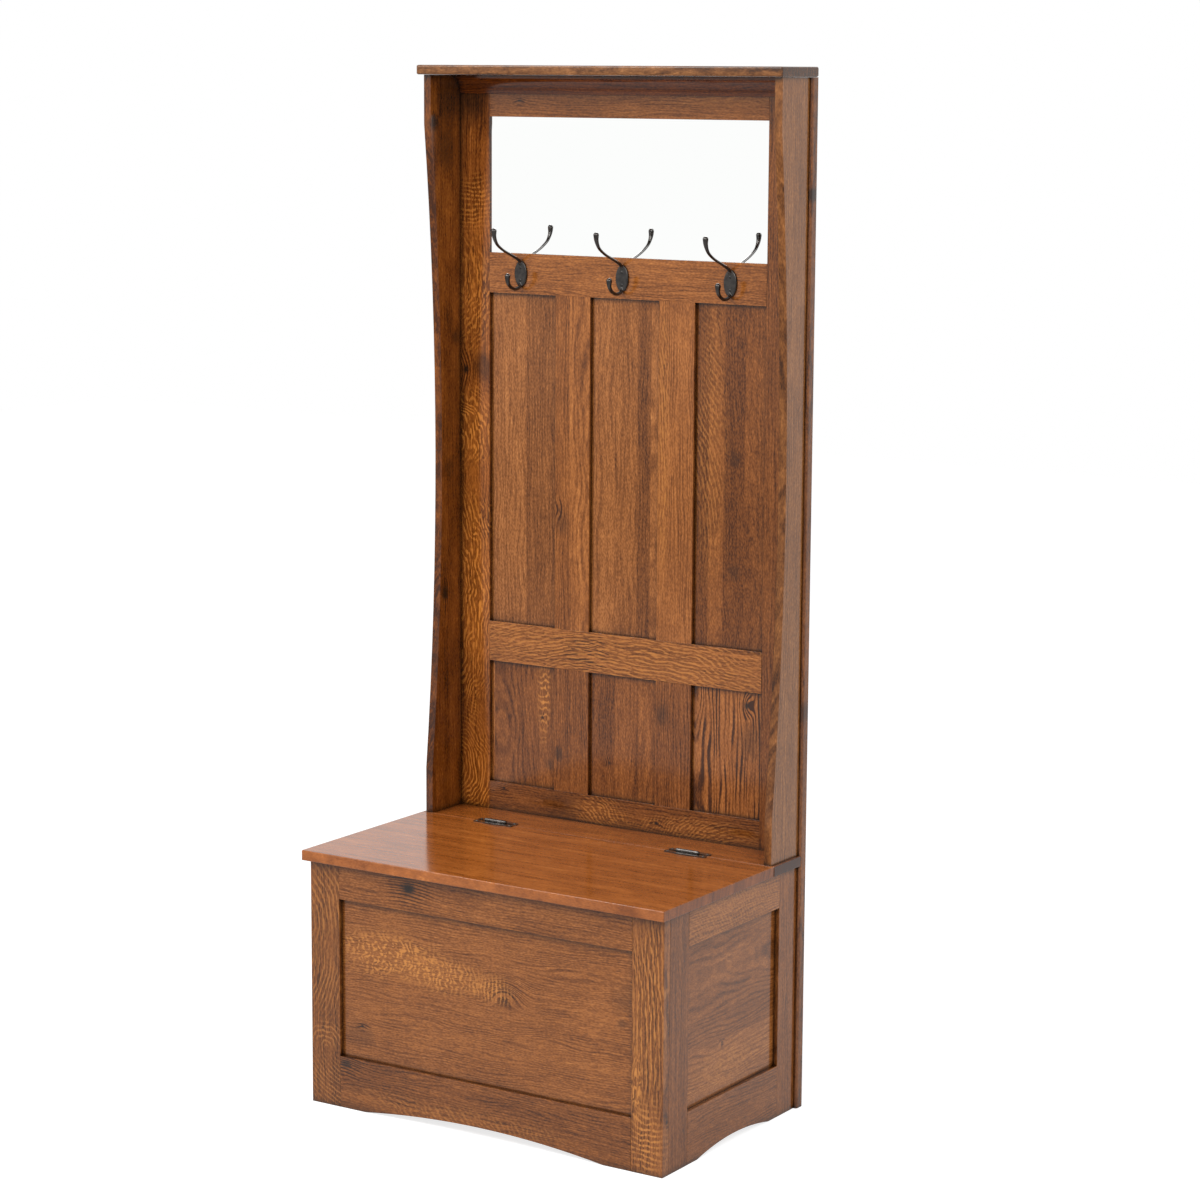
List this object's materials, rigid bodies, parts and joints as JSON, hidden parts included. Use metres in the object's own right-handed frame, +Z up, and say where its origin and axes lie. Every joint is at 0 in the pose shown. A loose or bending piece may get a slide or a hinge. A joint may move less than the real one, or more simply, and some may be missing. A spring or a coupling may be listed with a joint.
{
  "type": "hall bench",
  "caption": "Oak hall bench with a lift-up lid over a storage chest, a panelled back with a mirror and coat hooks, and two shaped wings under a cap board.",
  "frame": {"origin": "on the floor under the middle of the overall box", "axes": "+X to the right, +Y to the back, +Z up, seen from the front"},
  "size_m": [0.762, 0.4826, 1.8542],
  "materials": {
    "back_stile_left": "stained oak, satin lacquer",
    "back_stile_right": "stained oak, satin lacquer",
    "rail_top": "stained oak, satin lacquer",
    "rail_hook": "stained oak, satin lacquer",
    "rail_middle": "stained oak, satin lacquer",
    "rail_seat": "stained oak, satin lacquer",
    "rail_foot": "stained oak, satin lacquer",
    "mullion_upper_left": "stained oak, satin lacquer",
    "mullion_upper_right": "stained oak, satin lacquer",
    "mullion_lower_left": "stained oak, satin lacquer",
    "mullion_lower_right": "stained oak, satin lacquer",
    "panel_upper_left": "stained oak, satin lacquer",
    "panel_upper_middle": "stained oak, satin lacquer",
    "panel_upper_right": "stained oak, satin lacquer",
    "panel_lower_left": "stained oak, satin lacquer",
    "panel_lower_middle": "stained oak, satin lacquer",
    "panel_lower_right": "stained oak, satin lacquer",
    "chest_back_panel": "stained oak, satin lacquer",
    "mirror_glass": "silvered glass",
    "mirror_backing": "bare plywood",
    "wing_left": "stained oak, satin lacquer",
    "wing_right": "stained oak, satin lacquer",
    "cap_board": "stained oak, satin lacquer",
    "crown_moulding": "stained oak, satin lacquer",
    "front_stile_left": "stained oak, satin lacquer",
    "front_stile_right": "stained oak, satin lacquer",
    "front_rail_top": "stained oak, satin lacquer",
    "front_rail_bottom": "stained oak, satin lacquer",
    "front_panel": "stained oak, satin lacquer",
    "side_left_stile_front": "stained oak, satin lacquer",
    "side_left_stile_rear": "stained oak, satin lacquer",
    "side_left_rail_top": "stained oak, satin lacquer",
    "side_left_rail_bottom": "stained oak, satin lacquer",
    "side_left_panel": "stained oak, satin lacquer",
    "side_right_stile_front": "stained oak, satin lacquer",
    "side_right_stile_rear": "stained oak, satin lacquer",
    "side_right_rail_top": "stained oak, satin lacquer",
    "side_right_rail_bottom": "stained oak, satin lacquer",
    "side_right_panel": "stained oak, satin lacquer",
    "bottom_board": "bare plywood",
    "bottom_cleat_left": "stained oak, satin lacquer",
    "bottom_cleat_right": "stained oak, satin lacquer",
    "seat_strip": "stained oak, satin lacquer",
    "hinge_left_leaf_fixed": "dark bronze, satin",
    "hinge_left_pin": "dark bronze, satin",
    "hinge_right_leaf_fixed": "dark bronze, satin",
    "hinge_right_pin": "dark bronze, satin",
    "hook_left": "dark bronze, satin",
    "hook_middle": "dark bronze, satin",
    "hook_right": "dark bronze, satin",
    "hook_screw_left_upper": "dark bronze",
    "hook_screw_left_lower": "dark bronze",
    "hook_screw_middle_upper": "dark bronze",
    "hook_screw_middle_lower": "dark bronze",
    "hook_screw_right_upper": "dark bronze",
    "hook_screw_right_lower": "dark bronze",
    "lid": "stained oak, satin lacquer",
    "hinge_left_leaf_lid": "dark bronze, satin",
    "hinge_right_leaf_lid": "dark bronze, satin"
  },
  "bodies": {
    "bench": {"back_stile_left": "back_stile_left", "back_stile_right": "back_stile_right", "rail_top": "rail_top", "rail_hook": "rail_hook", "rail_middle": "rail_middle", "rail_seat": "rail_seat", "rail_foot": "rail_foot", "mullion_upper_left": "mullion_upper_left", "mullion_upper_right": "mullion_upper_right", "mullion_lower_left": "mullion_lower_left", "mullion_lower_right": "mullion_lower_right", "panel_upper_left": "panel_upper_left", "panel_upper_middle": "panel_upper_middle", "panel_upper_right": "panel_upper_right", "panel_lower_left": "panel_lower_left", "panel_lower_middle": "panel_lower_middle", "panel_lower_right": "panel_lower_right", "chest_back_panel": "chest_back_panel", "mirror_glass": "mirror_glass", "mirror_backing": "mirror_backing", "wing_left": "wing_left", "wing_right": "wing_right", "cap_board": "cap_board", "crown_moulding": "crown_moulding", "front_stile_left": "front_stile_left", "front_stile_right": "front_stile_right", "front_rail_top": "front_rail_top", "front_rail_bottom": "front_rail_bottom", "front_panel": "front_panel", "side_left_stile_front": "side_left_stile_front", "side_left_stile_rear": "side_left_stile_rear", "side_left_rail_top": "side_left_rail_top", "side_left_rail_bottom": "side_left_rail_bottom", "side_left_panel": "side_left_panel", "side_right_stile_front": "side_right_stile_front", "side_right_stile_rear": "side_right_stile_rear", "side_right_rail_top": "side_right_rail_top", "side_right_rail_bottom": "side_right_rail_bottom", "side_right_panel": "side_right_panel", "bottom_board": "bottom_board", "bottom_cleat_left": "bottom_cleat_left", "bottom_cleat_right": "bottom_cleat_right", "seat_strip": "seat_strip", "hinge_left_leaf_fixed": "hinge_left_leaf_fixed", "hinge_left_pin": "hinge_left_pin", "hinge_right_leaf_fixed": "hinge_right_leaf_fixed", "hinge_right_pin": "hinge_right_pin", "hook_left": "hook_left", "hook_middle": "hook_middle", "hook_right": "hook_right", "hook_screw_left_upper": "hook_screw_left_upper", "hook_screw_left_lower": "hook_screw_left_lower", "hook_screw_middle_upper": "hook_screw_middle_upper", "hook_screw_middle_lower": "hook_screw_middle_lower", "hook_screw_right_upper": "hook_screw_right_upper", "hook_screw_right_lower": "hook_screw_right_lower"},
    "lid": {"lid": "lid", "hinge_left_leaf_lid": "hinge_left_leaf_lid", "hinge_right_leaf_lid": "hinge_right_leaf_lid"}
  },
  "joints": [
    {"name": "lid_hinge", "type": "hinge", "parent": "bench", "child": "lid", "pos_m": [0, 0.12598, 0.47218], "axis": [-1, 0, 0], "range_deg": [0, 93]}
  ]
}
